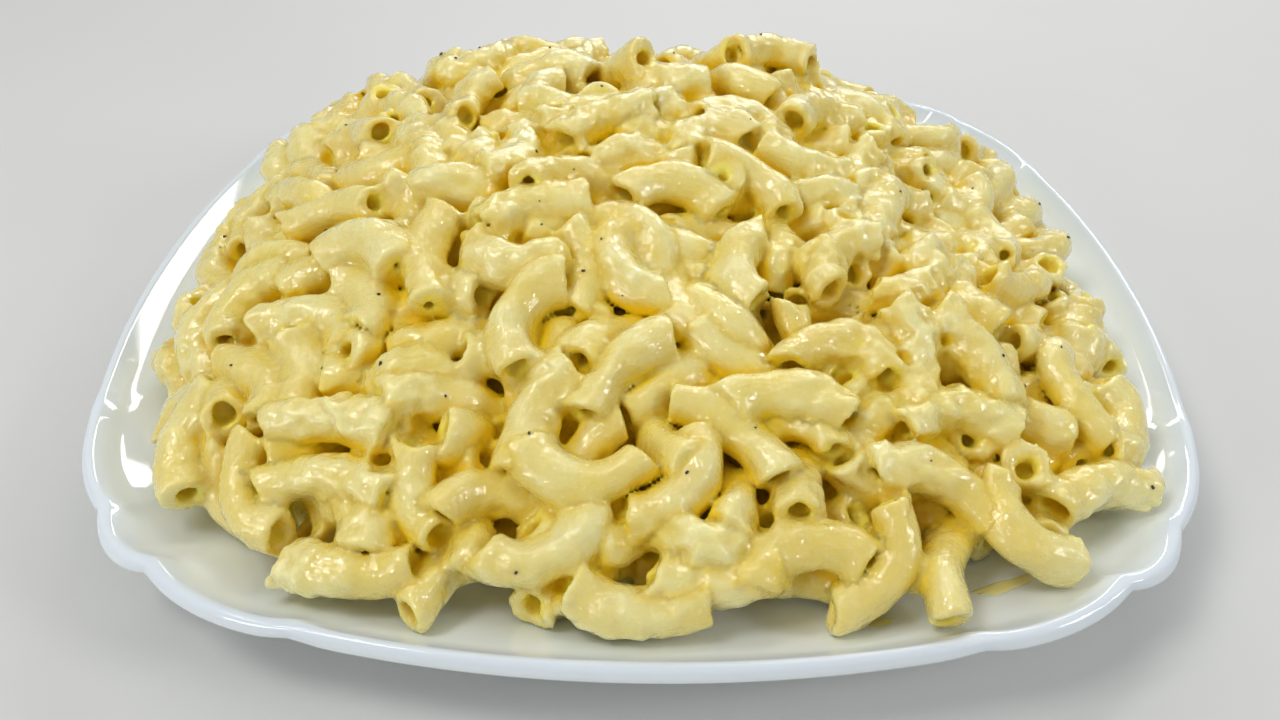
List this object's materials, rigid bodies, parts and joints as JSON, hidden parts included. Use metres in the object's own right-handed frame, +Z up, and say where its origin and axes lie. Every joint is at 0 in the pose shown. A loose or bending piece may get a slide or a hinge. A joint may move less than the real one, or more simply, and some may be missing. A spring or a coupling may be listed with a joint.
{
  "type": "mac and cheese on a plate",
  "caption": "Tall heap of elbow macaroni in pale cheese sauce on a square white dinner plate with bowed sides and scalloped corners.",
  "frame": {"origin": "middle of the plate's foot, on the surface that the plate stands on", "axes": "+Z up, -Y towards the front of the served plate, the plate's sides square to X and Y"},
  "size_m": [0.25, 0.25, 0.0716],
  "materials": {
    "opal_glass": "glossy",
    "sauced_macaroni": "glossy"
  },
  "bodies": {
    "root": {"plate": "opal_glass", "macaroni_heap": "sauced_macaroni"}
  },
  "joints": []
}
